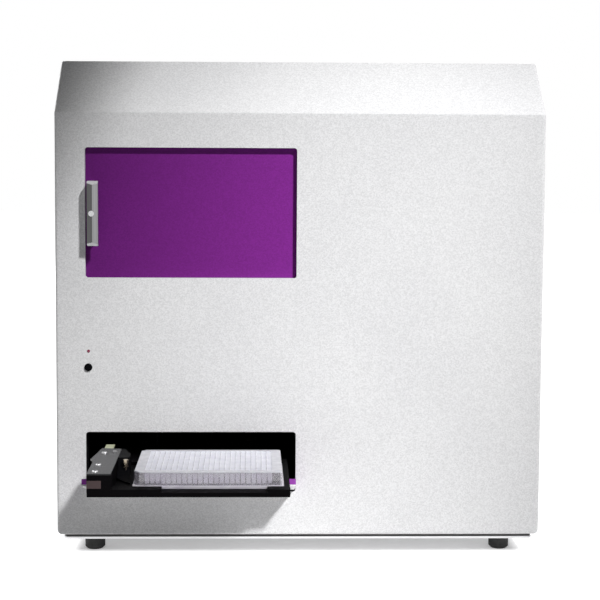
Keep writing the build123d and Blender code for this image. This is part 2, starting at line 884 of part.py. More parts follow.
def belt_clamp():
    x = pulley_x + pulley_radius + belt_thickness / 2
    y0 = into(clamp_start)
    y1 = y0 + clamp_length
    gap = belt_thickness / 2 + slide_clearance
    top = bed_top + 2 + belt_width + slide_clearance
    jaws = block(x - 5, x + 5, y0, y1, bed_top + 3, frame_bottom)
    return jaws - block(x - gap, x + gap, y0 - 1, y1 + 1, bed_top, top)


def transport_motor():
    half = motor_size / 2
    y = into(drive_in)
    z1 = bed_top - bed_thickness
    z0 = z1 - motor_length
    body = block(pulley_x - half, pulley_x + half, y - half, y + half, z0, z1)
    body = chamfer(body.edges().filter_by(Axis.Z), 4.0)
    return body - upright(pulley_x, y, z1 - 4, z1 + 1, pulley_bore + slide_clearance)


# The light-tight chamber around the transport carries the optics deck.

def chamber_walls():
    walls = block(chamber_left, chamber_right, into(chamber_front), into(chamber_rear), base_top, deck_bottom)
    inner_left = chamber_left + wall_thickness
    inner_right = chamber_right - wall_thickness
    walls -= block(inner_left, inner_right, into(chamber_front) - 1, into(bulkhead_in),
                   base_top - 1, deck_bottom + 1)
    return walls - block(inner_left, inner_right, into(bulkhead_in + wall_thickness), into(chamber_rear) + 1,
                         base_top - 1, deck_bottom + 1)


def optics_deck(front):
    y0, y1 = (chamber_front, head_gap_front) if front else (head_gap_rear, chamber_rear)
    return block(chamber_left, chamber_right, into(y0), into(y1), deck_bottom, deck_top)


# The measuring head crosses the plate on two rails, its barrel moves up and down to focus.

def head_rail(side):
    y = into(head_in) + side * head_rail_span
    half = head_rail_width / 2
    left = chamber_left + wall_thickness
    right = chamber_right - screw_bearing
    return block(left, right, y - half, y + half, deck_top, deck_top + head_rail_height)


def scan_head():
    y = into(head_in)
    x0 = head_x - head_width / 2
    x1 = head_x + head_width / 2
    half = head_rail_width / 2 + slide_clearance
    z0 = deck_top + head_rail_height + slide_clearance
    z1 = z0 + head_base_height
    reach = head_rail_span + half + head_skid
    low = z0 - head_skid
    base = block(x0, x1, y - reach, y + reach, low, z1)
    for side in (-1, 1):
        rail_y = y + side * head_rail_span
        base -= block(x0 - 1, x1 + 1, rail_y - half, rail_y + half, low - 1, z0)
    tower = block(x0, x1, y - head_depth / 2, y + head_depth / 2, z1, z1 + head_height)
    tower = chamfer(tower.edges().filter_by(Axis.Z), head_skid)
    nut_y = into(screw_in)
    nut = block(head_x - nut_half, head_x + nut_half, y + reach, nut_y + nut_half,
                screw_height - nut_half, screw_height + nut_half)
    nut += block(head_x - nut_half, head_x + nut_half, y + reach - head_base_height, y + reach,
                 z0, screw_height + nut_half)
    head = base + tower + nut
    head -= upright(head_x, y, low - 1, z1 + head_height + 1, barrel_radius + running_clearance)
    return head - along_x(nut_y, screw_height, x0, x1, screw_radius + running_clearance)


def focus_barrel():
    y = into(head_in)
    z0 = deck_bottom - barrel_rise
    barrel = upright(head_x, y, z0, z0 + barrel_length, barrel_radius)
    barrel = chamfer(barrel.edges().sort_by(Axis.Z)[0], 2.0)
    return barrel - upright(head_x, y, z0 - 1, z0 + 3, barrel_radius / 2)


def head_screw():
    return along_x(into(screw_in), screw_height, screw_left, screw_right, screw_radius)


def screw_bearings():
    y = into(screw_in)
    posts = []
    for x in (screw_left + 1, chamber_right - 2 * screw_bearing):
        post = block(x, x + screw_bearing, y - 10, y + 10, deck_top, screw_height + 10)
        post -= along_x(y, screw_height, x - 1, x + screw_bearing + 1, screw_radius + running_clearance)
        posts.append(post)
    return posts[0] + posts[1]


def screw_motor():
    y = into(screw_in)
    half = motor_size / 2
    x0 = chamber_right - screw_bearing
    body = block(x0, x0 + motor_length, y - half, y + half, screw_height - half, screw_height + half)
    body = chamfer(body.edges().filter_by(Axis.X), 4.0)
    return body - along_x(y, screw_height, x0 - 1, screw_right + slide_clearance,
                          screw_radius + slide_clearance)


# The module carousel turns on its motor under a bridge; the door opens onto it.

def bridge():
    y1 = into(bridge_rear)
    top = block(chamber_left, chamber_right, into(bridge_front), y1,
                bridge_top - bridge_thickness, bridge_top)
    for x0 in (chamber_left, chamber_right - wall_thickness):
        top += block(x0, x0 + wall_thickness, y1 - bridge_leg, y1, deck_top, bridge_top - bridge_thickness)
    return top - upright(carousel_x, into(carousel_in), bridge_top - bridge_thickness - 1, bridge_top + 1,
                         shaft_radius + slide_clearance)


def carousel_motor():
    half = carousel_motor_size / 2
    y = into(carousel_in)
    z1 = bridge_top - bridge_thickness
    body = block(carousel_x - half, carousel_x + half, y - half, y + half, z1 - carousel_motor_length, z1)
    body = chamfer(body.edges().filter_by(Axis.Z), 5.0)
    return body - upright(carousel_x, y, z1 - 10, z1 + 1, shaft_radius + slide_clearance)


def carousel():
    y = into(carousel_in)
    z1 = carousel_bottom + carousel_disc
    disc = upright(carousel_x, y, carousel_bottom, z1, carousel_radius)
    disc += upright(carousel_x, y, bridge_top - bridge_thickness - 8, carousel_bottom, shaft_radius)
    disc += upright(carousel_x, y, bridge_top + slide_clearance, carousel_bottom, carousel_hub_radius)
    disc += upright(carousel_x, y, z1, z1 + carousel_post_height, carousel_hub_radius)
    return disc


def optic_module(index):
    z0 = carousel_bottom + carousel_disc
    inner = carousel_radius - module_length - 2
    body = block(inner, inner + module_length, -module_width / 2, module_width / 2, z0, z0 + module_height)
    edges = body.edges().filter_by(Axis.Z).filter_by(lambda edge: edge.center().X < inner + 1)
    body = chamfer(edges, module_width / 4)
    body -= along_x(0, z0 + module_height / 2, inner + module_length - 4, inner + module_length + 1, module_lens_radius)
    grip = block(inner + 8, inner + 8 + module_grip_depth, -module_grip_width / 2, module_grip_width / 2,
                 z0 + module_height, z0 + module_height + module_grip_height)
    return Pos(carousel_x, into(carousel_in), 0) * Rot(0, 0, 360 / module_count * index - 90) * (body + grip)


def optic_modules():
    modules = optic_module(0)
    for index in range(1, module_count):
        modules += optic_module(index)
    return modules


# Light source and detector stand on the deck behind the carousel.

def lamp_house():
    y = into(lamp_house_in)
    x0 = lamp_house_x - lamp_house_width / 2
    x1 = lamp_house_x + lamp_house_width / 2
    top = deck_top + lamp_house_height
    house = block(x0, x1, y - lamp_house_depth / 2, y + lamp_house_depth / 2, deck_top, top)
    for index in range(fin_count):
        middle = y + (index - (fin_count - 1) / 2) * fin_pitch
        house -= block(x0 - 1, x1 + 1, middle - fin_slot / 2, middle + fin_slot / 2, top - fin_pitch, top + 1)
    return house


def detector():
    y = into(detector_in)
    z = deck_top + detector_radius + detector_lift
    front = y - detector_length / 2
    tube = along_y(detector_x, z, front, y + detector_length / 2, detector_radius)
    tube += along_y(detector_x, z, front - detector_neck, front, detector_radius * 0.6)
    for end in (-1, 1):
        middle = y + end * (detector_length / 2 - detector_neck)
        tube += block(detector_x - detector_radius, detector_x + detector_radius, middle - detector_saddle / 2,
                      middle + detector_saddle / 2, deck_top, z)
    return tube


# Electronics on the base, to the right of the chamber.

def power_supply():
    rear = panel_front - supply_rear_gap
    box = block(supply_x - supply_width / 2, supply_x + supply_width / 2, rear - supply_depth, rear,
                base_top, base_top + supply_height)
    return chamfer(box.edges().filter_by(Axis.Y), supply_round)


def standoffs():
    posts = []
    for side in (-1, 1):
        for end in (-1, 1):
            x = main_board_x + side * (main_board_width / 2 - board_hole_inset)
            y = into(main_board_front) + main_board_depth / 2 + end * (main_board_depth / 2 - board_hole_inset)
            posts.append(Pos(x, y, base_top) * extrude(RegularPolygon(standoff_radius, 6), amount=standoff_height))
    return Compound(posts)


def main_board():
    x = main_board_x
    y0 = into(main_board_front)
    y1 = y0 + main_board_depth
    z0 = base_top + standoff_height
    z1 = z0 + board_thickness
    board = block(x - main_board_width / 2, x + main_board_width / 2, y0, y1, z0, z1)
    half = processor_size / 2
    middle = (y0 + y1) / 2
    board += block(x - half, x + half, middle - half, middle + half, z1, z1 + processor_height)
    for index in range(connector_count):
        place = x + (index - (connector_count - 1) / 2) * connector_pitch
        board += block(place - connector_width / 2, place + connector_width / 2,
                       y1 - board_thickness - connector_depth, y1 - board_thickness, z1, z1 + connector_height)
    return board


# The rear panel carries the fan, the mains inlet with its rocker switch and the data port.

def rear_panel():
    half = half_width - sheet
    panel = block(-half, half, panel_front, panel_back, base_top, housing_top - sheet)
    top_corners = panel.edges().filter_by(Axis.Y).group_by(Axis.Z)[-1]
    panel = fillet(top_corners, bend_radius - sheet)
    y0 = panel_front - 1
    y1 = panel_back + 1
    panel -= along_y(fan_x, fan_z, y0, y1, fan_bore_radius)
    panel -= block(inlet_x - inlet_width / 2, inlet_x + inlet_width / 2, y0, y1,
                   inlet_z - inlet_height / 2, inlet_z + inlet_height / 2)
    panel -= block(data_port_x - data_port_width / 2, data_port_x + data_port_width / 2, y0, y1,
                   data_port_z - data_port_height / 2, data_port_z + data_port_height / 2)
    for index in range(vent_count):
        x = (index - (vent_count - 1) / 2) * vent_pitch
        slot = SlotOverall(vent_height, vent_width)
        panel -= extrude(Pos(x, y0, vent_z) * Rot(-90, 0, 0) * Rot(0, 0, 90) * slot, amount=y1 - y0)
    return panel


def panel_screws():
    half = half_width - sheet - panel_screw_inset
    screws = []
    for x in (-half, 0, half):
        for z in (base_top + panel_screw_inset, housing_top - sheet - panel_screw_inset):
            screws.append(along_y(x, z, panel_back, panel_back + panel_screw_height, panel_screw_radius))
    return Compound(screws)


def fan_frame():
    y1 = panel_front
    y0 = y1 - fan_depth
    half = fan_size / 2
    reach = fan_bore_radius + 1
    strut = fan_strut / 2
    frame = block(fan_x - half, fan_x + half, y0, y1, fan_z - half, fan_z + half)
    frame = fillet(frame.edges().filter_by(Axis.Y), fan_strut / 2)
    frame -= along_y(fan_x, fan_z, y0 - 1, y1 + 1, fan_bore_radius)
    frame += block(fan_x - reach, fan_x + reach, y0, y0 + fan_back, fan_z - strut, fan_z + strut)
    frame += block(fan_x - strut, fan_x + strut, y0, y0 + fan_back, fan_z - reach, fan_z + reach)
    frame += along_y(fan_x, fan_z, y0, y0 + fan_back, fan_hub_radius)
    return frame + along_y(fan_x, fan_z, y0 + fan_back, y1 - fan_back - fan_rotor_gap, fan_spindle_radius)


def fan_rotor():
    y0 = panel_front - fan_depth + fan_back + slide_clearance
    y1 = panel_front - fan_back
    hub = along_y(fan_x, fan_z, y0, y1, fan_hub_radius)
    hub -= along_y(fan_x, fan_z, y0 - 1, y1 - fan_rotor_gap + slide_clearance,
                   fan_spindle_radius + running_clearance)
    reach = fan_bore_radius - fan_tip_gap
    swept = along_y(fan_x, fan_z, y0 + 1, y1, reach)
    depth = y1 - y0
    for index in range(fan_blade_count):
        angle = 360 / fan_blade_count * index
        blade = Rot(0, 0, blade_pitch) * Box(blade_thickness, depth, reach)
        blade = Pos(0, 0, (fan_hub_radius + reach) / 2) * blade
        hub += (Pos(fan_x, (y0 + y1) / 2, fan_z) * Rot(0, angle, 0) * blade) & swept
    return hub


def fan_guard():
    y0 = panel_back
    y1 = panel_back + guard_wire
    guard = None
    for index in range(guard_ring_count):
        radius = fan_bore_radius * (index + 1) / guard_ring_count + guard_wire / 2
        ring = along_y(fan_x, fan_z, y0, y1, radius)
        ring -= along_y(fan_x, fan_z, y0 - 1, y1 + 1, radius - guard_wire)
        guard = ring if guard is None else guard + ring
    corner = fan_bolt_pitch / 2
    for angle in (45, 135):
        bar = Rot(0, angle, 0) * Box(2 * corner * 2 ** 0.5, guard_wire, guard_bar_width)
        guard += Pos(fan_x, (y0 + y1) / 2, fan_z) * bar
    for side in (-1, 1):
        for level in (-1, 1):
            guard += along_y(fan_x + side * corner, fan_z + level * corner, y0, y1, panel_screw_radius)
    return guard


def mains_inlet():
    half = inlet_width / 2
    tall_half = inlet_height / 2
    y0 = panel_front - inlet_depth
    body = block(inlet_x - half, inlet_x + half, y0, panel_back, inlet_z - tall_half, inlet_z + tall_half)
    body += rounded_slab(inlet_x - half - inlet_flange, inlet_x + half + inlet_flange,
                         inlet_z - tall_half - inlet_flange, inlet_z + tall_half + inlet_flange,
                         panel_back, panel_back + inlet_flange_thickness, inlet_flange / 2)
    face = panel_back + inlet_flange_thickness
    socket_z = inlet_z - socket_drop
    body -= block(inlet_x - socket_width / 2, inlet_x + socket_width / 2, face - socket_depth, face + 1,
                  socket_z - socket_height / 2, socket_z + socket_height / 2)
    pins = ((-socket_pin_pitch, -socket_pin_half), (0, 1.5 * socket_pin_half), (socket_pin_pitch, -socket_pin_half))
    for x, z in pins:
        body += block(inlet_x + x - socket_pin_half / 2, inlet_x + x + socket_pin_half / 2,
                      face - socket_depth, face - socket_depth + socket_pin_length,
                      socket_z + z - socket_pin_half, socket_z + z + socket_pin_half)
    rocker_z = inlet_z + rocker_rise
    wide = rocker_width / 2 + rocker_clearance
    tall = rocker_height / 2 + rocker_clearance
    body -= block(inlet_x - wide, inlet_x + wide, face - rocker_thickness - rocker_taper, face + 1,
                  rocker_z - tall, rocker_z + tall)
    reach = rocker_width / 2 + rocker_pin_length + rocker_clearance
    return body - along_x(face - rocker_pivot_depth, rocker_z, inlet_x - reach, inlet_x + reach,
                          rocker_pin_radius + running_clearance)


def power_rocker():
    face = panel_back + inlet_flange_thickness
    rocker_z = inlet_z + rocker_rise
    half = rocker_height / 2
    y0 = face - rocker_thickness
    section = Polyline((y0, rocker_z - half + rocker_taper), (face - rocker_pivot_depth, rocker_z - half),
                       (face - rocker_dish, rocker_z), (face - rocker_pivot_depth, rocker_z + half),
                       (y0, rocker_z + half - rocker_taper), close=True)
    rocker = Pos(inlet_x, 0, 0) * extrude(Plane.YZ * make_face(section), amount=rocker_width / 2, both=True)
    reach = rocker_width / 2 + rocker_pin_length
    rocker += along_x(face - rocker_pivot_depth, rocker_z, inlet_x - reach, inlet_x + reach, rocker_pin_radius)
    pivot = Pos(0, face - rocker_pivot_depth, rocker_z)
    return pivot * Rot(-rocker_angle, 0, 0) * pivot.inverse() * rocker


def data_port():
    x = data_port_x
    z = data_port_z
    body = block(x - data_port_width / 2, x + data_port_width / 2, panel_front - data_port_depth, panel_back,
                 z - data_port_height / 2, z + data_port_height / 2)
    foot_half = port_shell_foot / 2
    top_half = port_shell_top / 2
    half = port_shell_height / 2
    shell = Polyline((-foot_half, -half), (foot_half, -half), (top_half, half), (-top_half, half), close=True)
    nose = extrude(Pos(x, panel_back, z) * Rot(90, 0, 0) * make_face(shell), amount=-port_shell_proud)
    return body + nose


# One STEP file for each piece, or for each group of like pieces.

def pair(make):
    return make(True) + make(False)


nodes = {
    "hood": hood(),
    "base_plate": base_plate(),
    "base_seal": base_seal(),
    "feet": foot(-1, -1) + foot(1, -1) + foot(-1, 1) + foot(1, 1),
    "rear_panel": rear_panel(),
    "panel_screws": panel_screws(),
    "slot_liner": slot_liner(),
    "flap_pins": pair(flap_pin),
    "flap_skin": flap_skin_sheet(),
    "flap_plate": flap_plate(),
    "door_panel": door_panel(),
    "door_rails": pair(door_rail),
    "door_handle": door_handle(),
    "handle_screw": handle_screw(),
    "push_button": push_button(),
    "status_lamp": status_lamp(),
    "control_holder": control_holder(),
    "control_board": control_board(),
    "carrier_tray": carrier_tray(),
    "carrier_frame": carrier_frame(),
    "clamp_block": clamp_block(),
    "clamp_bracket": clamp_bracket(),
    "clamp_screws": clamp_screws(),
    "strike_plate": strike_plate(),
    "sensor_tab": sensor_tab(),
    "clamp_lever": clamp_lever(),
    "lever_pin": lever_pin(),
    "adjusting_screw": adjusting_screw(),
    "microplate": microplate(),
    "transport_bed": transport_bed(),
    "transport_rails": transport_rail(rail_left_x) + transport_rail(rail_right_x),
    "carriages": carriage(rail_left_x) + carriage(rail_right_x),
    "drive_pulley": pulley(drive_in),
    "idler_pulley": pulley(idler_in),
    "transport_belt": transport_belt(),
    "belt_clamp": belt_clamp(),
    "transport_motor": transport_motor(),
    "chamber_walls": chamber_walls(),
    "optics_deck": pair(optics_deck),
    "head_rails": head_rail(-1) + head_rail(1),
    "scan_head": scan_head(),
    "focus_barrel": focus_barrel(),
    "head_screw": head_screw(),
    "screw_bearings": screw_bearings(),
    "screw_motor": screw_motor(),
    "carousel_bridge": bridge(),
    "carousel_motor": carousel_motor(),
    "carousel": carousel(),
    "optic_modules": optic_modules(),
    "lamp_house": lamp_house(),
    "detector": detector(),
    "power_supply": power_supply(),
    "standoffs": standoffs(),
    "main_board": main_board(),
    "fan_frame": fan_frame(),
    "fan_rotor": fan_rotor(),
    "fan_guard": fan_guard(),
    "mains_inlet": mains_inlet(),
    "power_rocker": power_rocker(),
    "data_port": data_port(),
}

for name, shape in nodes.items():
    export_step(shape, "parts/" + name + ".step")
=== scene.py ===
import json
import math
import bmesh
import bpy
from mathutils import Matrix, Vector

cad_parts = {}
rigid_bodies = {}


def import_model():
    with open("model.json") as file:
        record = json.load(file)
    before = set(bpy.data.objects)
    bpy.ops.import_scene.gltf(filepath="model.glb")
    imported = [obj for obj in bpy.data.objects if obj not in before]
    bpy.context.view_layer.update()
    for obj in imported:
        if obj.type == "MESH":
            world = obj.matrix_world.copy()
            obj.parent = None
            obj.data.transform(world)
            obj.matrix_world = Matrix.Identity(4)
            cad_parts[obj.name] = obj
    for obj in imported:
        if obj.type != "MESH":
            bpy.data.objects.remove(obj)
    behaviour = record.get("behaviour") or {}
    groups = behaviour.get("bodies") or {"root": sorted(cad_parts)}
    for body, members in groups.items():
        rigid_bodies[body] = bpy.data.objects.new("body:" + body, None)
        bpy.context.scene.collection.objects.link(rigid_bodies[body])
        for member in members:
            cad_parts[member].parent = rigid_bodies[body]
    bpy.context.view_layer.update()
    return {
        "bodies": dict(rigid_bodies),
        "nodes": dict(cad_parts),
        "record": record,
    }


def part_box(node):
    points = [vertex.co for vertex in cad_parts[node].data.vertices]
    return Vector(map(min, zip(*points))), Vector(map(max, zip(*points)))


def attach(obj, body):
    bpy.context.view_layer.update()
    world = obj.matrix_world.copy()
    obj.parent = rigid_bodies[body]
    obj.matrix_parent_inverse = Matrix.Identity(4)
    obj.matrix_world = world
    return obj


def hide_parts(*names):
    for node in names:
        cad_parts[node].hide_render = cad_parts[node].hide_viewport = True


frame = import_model()
nodes = frame["nodes"]
print("frame loaded,", len(nodes), "nodes")

mm = 0.001
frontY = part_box("hood")[0].y
weldWithin = 0.001 * mm


# camera, light and ground

view = {
    "distance": 1.2033,
    "side": -0.0444,
    "height": 0.3755,
    "down": 0.0729,
    "turn": 0.0212,
    "roll": 0.0049,
    "focalPixels": 1312.3,
    "centreX": 279.9,
    "centreY": 250.2,
    "frame": 600.0,
    "sensor": 36.0,
    "nearest": 10 * mm,
}


def makeCamera():
    data = bpy.data.cameras.new("camera")
    data.sensor_width = view["sensor"]
    data.sensor_fit = "HORIZONTAL"
    data.lens = view["focalPixels"] / view["frame"] * data.sensor_width
    half = view["frame"] / 2
    data.shift_x = (half - view["centreX"]) / view["frame"]
    data.shift_y = (view["centreY"] - half) / view["frame"]
    data.clip_start = view["nearest"]
    camera = bpy.data.objects.new("camera", data)
    bpy.context.scene.collection.objects.link(camera)
    turn = Matrix.Rotation(-view["turn"], 4, "Z")
    tilt = Matrix.Rotation(math.pi / 2 - view["down"], 4, "X")
    roll = Matrix.Rotation(view["roll"], 4, "Z")
    place = Matrix.Translation((view["side"], frontY - view["distance"], view["height"]))
    camera.matrix_world = place @ turn @ tilt @ roll
    bpy.context.scene.camera = camera


lighting = {
    "keyPower": 1060.0,
    "keyPlace": (1.69, -2.80, 3.15),
    "keyAim": (0.05, -0.19, 0.25),
    "keyCone": 11.6,
    "keySize": 0.2,
    "keyBlend": 1.0,
    "topPower": 1.0,
    "topPlace": (0.3, 0.3, 2.2),
    "topAim": (0, 0.1, 0.4),
    "topSize": 1.6,
    "rearPower": 46.0,
    "rearPlace": (-1.3, 2.3, 1.7),
    "rearAim": (0, 0.2, 0.25),
    "rearSize": 1.4,
    "worldLevel": 0.04,
    "floorSize": 14.0,
    "floorPale": 0.9,
    "floorRough": 0.9,
    "floorGlow": 0.16,
    # the floor's painted shadow: its level under the instrument, its inset from the casing's edges and its
    # soft edge
    "paintedShadowLevel": 0.27,
    "shadowInset": (0.022, 0.028),
    "shadowSoft": 0.016,
    "cardShare": 0.72,
    "cardCorner": (-0.232, -0.19, 0.417),
    "cardSize": 0.5,
    "cardSlope": 2.0,
}


def addLamp(name, kind, power, place, aim, **sizes):
    data = bpy.data.lights.new(name, kind)
    data.energy = power
    for key, value in sizes.items():
        setattr(data, key, value)
    lamp = bpy.data.objects.new(name, data)
    bpy.context.scene.collection.objects.link(lamp)
    lamp.location = place
    lamp.rotation_euler = (Vector(aim) - Vector(place)).to_track_quat("-Z", "Y").to_euler()


def makeLights():
    # a narrow key from the front right, a soft top light, and a soft light for the back
    addLamp("key", "SPOT", lighting["keyPower"], lighting["keyPlace"], lighting["keyAim"],
            shadow_soft_size=lighting["keySize"], spot_size=math.radians(lighting["keyCone"]),
            spot_blend=lighting["keyBlend"])
    addLamp("top", "AREA", lighting["topPower"], lighting["topPlace"], lighting["topAim"],
            size=lighting["topSize"])
    addLamp("rear", "AREA", lighting["rearPower"], lighting["rearPlace"], lighting["rearAim"],
            size=lighting["rearSize"])


def makeCard():
    # a card in the key's beam, unseen by the camera, softly shades the casing's top left corner
    key = Vector(lighting["keyPlace"])
    corner = Vector(lighting["cardCorner"])
    along = Vector((1, 0, lighting["cardSlope"])).normalized() * lighting["cardSize"]
    across = Vector((-lighting["cardSlope"], 0, 1)).normalized() * lighting["cardSize"]
    shaded = [corner - along, corner + along, corner + along + across, corner - along + across]
    mesh = bpy.data.meshes.new("card")
    places = [tuple(key.lerp(point, lighting["cardShare"])) for point in shaded]
    mesh.from_pydata(places, [], [(0, 1, 2, 3)])
    card = bpy.data.objects.new("card", mesh)
    bpy.context.scene.collection.objects.link(card)
    card.visible_camera = False
    card.visible_diffuse = False
    card.visible_glossy = False
    card.visible_transmission = False


def maths(tree, operation, first, second):
    node = tree.nodes.new("ShaderNodeMath")
    node.operation = operation
    for socket, value in zip(node.inputs, (first, second)):
        if isinstance(value, (int, float)):
            socket.default_value = value
        else:
            tree.links.new(value, socket)
    return node.outputs[0]


def seenDirectly(tree):
    # 1 for what the camera sees straight, in a reflection or through a clear piece
    path = tree.nodes.new("ShaderNodeLightPath")
    straight = maths(tree, "MAXIMUM", path.outputs["Is Camera Ray"], path.outputs["Is Glossy Ray"])
    return maths(tree, "MAXIMUM", straight, path.outputs["Is Transmission Ray"])


def makeWorld():
    world = bpy.data.worlds.new("studio")
    bpy.context.scene.world = world
    world.use_nodes = True
    tree = world.node_tree
    tree.nodes.clear()
    fill = tree.nodes.new("ShaderNodeBackground")
    fill.inputs["Color"].default_value = (1, 1, 1, 1)
    fill.inputs["Strength"].default_value = lighting["worldLevel"]
    white = tree.nodes.new("ShaderNodeBackground")
    white.inputs["Color"].default_value = (1, 1, 1, 1)
    mix = tree.nodes.new("ShaderNodeMixShader")
    tree.links.new(seenDirectly(tree), mix.inputs[0])
    tree.links.new(fill.outputs[0], mix.inputs[1])
    tree.links.new(white.outputs[0], mix.inputs[2])
    out = tree.nodes.new("ShaderNodeOutputWorld")
    tree.links.new(mix.outputs[0], out.inputs["Surface"])


def footprintDistance(tree):
    # how far a place on the floor lies outside the rectangle where a shadow is painted into the floor's glow
    place = tree.nodes.new("ShaderNodeTexCoord").outputs["Object"]
    split = tree.nodes.new("ShaderNodeSeparateXYZ")
    tree.links.new(place, split.inputs[0])
    low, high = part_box("hood")
    beyond = []
    for axis in (0, 1):
        middle = (low[axis] + high[axis]) / 2
        half = (high[axis] - low[axis]) / 2 - lighting["shadowInset"][axis]
        off = maths(tree, "ABSOLUTE", maths(tree, "SUBTRACT", split.outputs[axis], middle), 0.0)
        past = maths(tree, "MAXIMUM", maths(tree, "SUBTRACT", off, half), 0.0)
        beyond.append(maths(tree, "POWER", past, 2.0))
    return maths(tree, "SQRT", maths(tree, "ADD", beyond[0], beyond[1]), 0.0)


def paintedFloorShadow(tree):
    # how far the floor's own glow is let through: a painted shadow, dark under the instrument and full
    # outside it
    level = tree.nodes.new("ShaderNodeMapRange")
    level.interpolation_type = "SMOOTHSTEP"
    level.inputs["From Min"].default_value = 0.0
    level.inputs["From Max"].default_value = lighting["shadowSoft"]
    level.inputs["To Min"].default_value = lighting["paintedShadowLevel"]
    level.inputs["To Max"].default_value = 1.0
    tree.links.new(footprintDistance(tree), level.inputs["Value"])
    return level.outputs[0]


def makeFloorMaterial():
    # pale and matt, with a glow that is full to the eye and weaker on the instrument, and a painted shadow
    # under the instrument
    mat = bpy.data.materials.new("paleFloor")
    mat.use_nodes = True
    tree = mat.node_tree
    shader = tree.nodes["Principled BSDF"]
    shader.inputs["Base Color"].default_value = (*[lighting["floorPale"]] * 3, 1)
    shader.inputs["Roughness"].default_value = lighting["floorRough"]
    shader.inputs["Specular IOR Level"].default_value = 0.0
    glow = tree.nodes.new("ShaderNodeEmission")
    seen = maths(tree, "MAXIMUM", seenDirectly(tree), lighting["floorGlow"])
    tree.links.new(maths(tree, "MULTIPLY", seen, paintedFloorShadow(tree)), glow.inputs["Strength"])
    both = tree.nodes.new("ShaderNodeAddShader")
    tree.links.new(shader.outputs[0], both.inputs[0])
    tree.links.new(glow.outputs[0], both.inputs[1])
    tree.links.new(both.outputs[0], tree.nodes["Material Output"].inputs["Surface"])
    return mat


def makeFloor():
    half = lighting["floorSize"] / 2
    mesh = bpy.data.meshes.new("floor")
    corners = [(-half, -half, 0), (half, -half, 0), (half, half, 0), (-half, half, 0)]
    mesh.from_pydata(corners, [], [(0, 1, 2, 3)])
    mesh.materials.append(makeFloorMaterial())
    floor = bpy.data.objects.new("floor", mesh)
    bpy.context.scene.collection.objects.link(floor)


bpy.context.scene.view_settings.view_transform = "Standard"
makeCamera()
makeLights()
makeCard()
makeWorld()
makeFloor()
print("camera, lights and floor")


# materials

def newMaterial(name):
    mat = bpy.data.materials.new(name)
    mat.use_nodes = True
    tree = mat.node_tree
    shader = tree.nodes["Principled BSDF"]
    place = tree.nodes.new("ShaderNodeTexCoord").outputs["Object"]
    return mat, tree, shader, place


def noise(tree, place, scale, detail=2.0, roughness=0.5):
    node = tree.nodes.new("ShaderNodeTexNoise")
    node.inputs["Scale"].default_value = scale
    node.inputs["Detail"].default_value = detail
    node.inputs["Roughness"].default_value = roughness
    tree.links.new(place, node.inputs["Vector"])
    return node.outputs[0]


def stretched(tree, place, scale):
    node = tree.nodes.new("ShaderNodeMapping")
    node.inputs["Scale"].default_value = scale
    tree.links.new(place, node.inputs["Vector"])
    return node.outputs[0]


def between(tree, value, low, high, fromLow=0.3, fromHigh=0.7):
    node = tree.nodes.new("ShaderNodeMapRange")
    node.inputs["From Min"].default_value = fromLow
    node.inputs["From Max"].default_value = fromHigh
    node.inputs["To Min"].default_value = low
    node.inputs["To Max"].default_value = high
    tree.links.new(value, node.inputs["Value"])
    return node.outputs[0]


def tinted(tree, value, dark, light):
    node = tree.nodes.new("ShaderNodeMix")
    node.data_type = "RGBA"
    node.inputs["A"].default_value = (*dark, 1)
    node.inputs["B"].default_value = (*light, 1)
    tree.links.new(value, node.inputs["Factor"])
    return node.outputs["Result"]


def bump(tree, shader, height, strength, distance):
    node = tree.nodes.new("ShaderNodeBump")
    node.inputs["Strength"].default_value = strength
    node.inputs["Distance"].default_value = distance
    tree.links.new(height, node.inputs["Height"])
    tree.links.new(node.outputs[0], shader.inputs["Normal"])


# how fine each texture is, in cells per metre, and how deep its bumps are, in metres
texture = {
    "coatCloud": 9.0,
    "mouldCloud": 30.0,
    "mouldStrength": 0.25,
    "brushCross": 1800.0,
    "brushAlong": 12.0,
    "brushSmudge": 14.0,
    "brushStrength": 0.3,
    "rubberDust": 60.0,
    "rubberGrain": 1800.0,
    "rubberDepth": 0.08 * mm,
    "rubberStrength": 0.3,
    "boardTracks": 60.0,
    "boardGap": 0.012,
    "boardGrain": 90.0,
    "clearHaze": 120.0,
    "clearDepth": 0.1 * mm,
    "clearIor": 1.5,
}

coat = {"speckle": 1050.0, "spread": 0.11, "grain": 900.0, "depth": 0.1 * mm, "strength": 0.35}


def speckled(tree, place, colour):
    # fine powder-coat speckle: each small cell is a little darker or lighter than its neighbours
    cells = tree.nodes.new("ShaderNodeTexVoronoi")
    cells.inputs["Scale"].default_value = coat["speckle"]
    tree.links.new(place, cells.inputs["Vector"])
    split = tree.nodes.new("ShaderNodeSeparateColor")
    tree.links.new(cells.outputs["Color"], split.inputs[0])
    level = between(tree, split.outputs[0], 1.0 - coat["spread"], 1.0 + coat["spread"], 0.0, 1.0)
    product = tree.nodes.new("ShaderNodeVectorMath")
    product.operation = "SCALE"
    tree.links.new(colour, product.inputs[0])
    tree.links.new(level, product.inputs["Scale"])
    return product.outputs[0]


